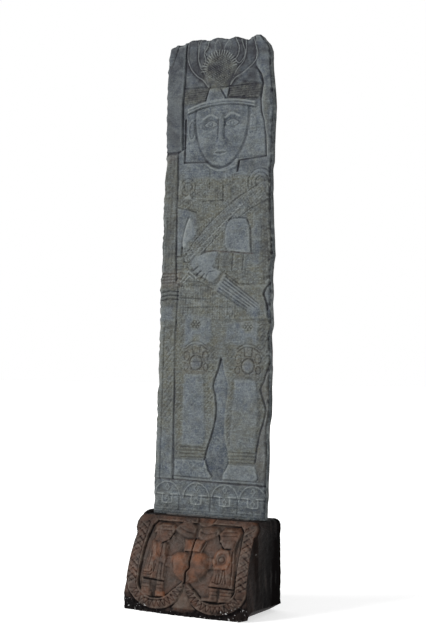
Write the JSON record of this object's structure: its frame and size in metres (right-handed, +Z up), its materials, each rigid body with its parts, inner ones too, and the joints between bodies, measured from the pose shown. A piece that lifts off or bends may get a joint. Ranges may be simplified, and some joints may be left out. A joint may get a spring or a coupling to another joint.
{
  "type": "carved stone screen",
  "caption": "Tall slate slab with a standing figure in low relief, set in a dark stone plinth carved with a pot and bearers.",
  "frame": {"origin": "on the floor, under the middle of the plinth's underside", "axes": "+Z up along the standing slab, carved faces towards -Y, +X to the viewer's right when facing the carving"},
  "size_m": [0.525, 0.3223, 2.2024],
  "materials": {
    "slate": "split and chiselled slate, matt, blue-grey with olive dust in the worked parts",
    "plinth_stone": "rough dark stone with a worn red-brown stain on the carved front"
  },
  "bodies": {
    "root": {"slate_slab": "slate", "stone_plinth": "plinth_stone"}
  },
  "joints": []
}
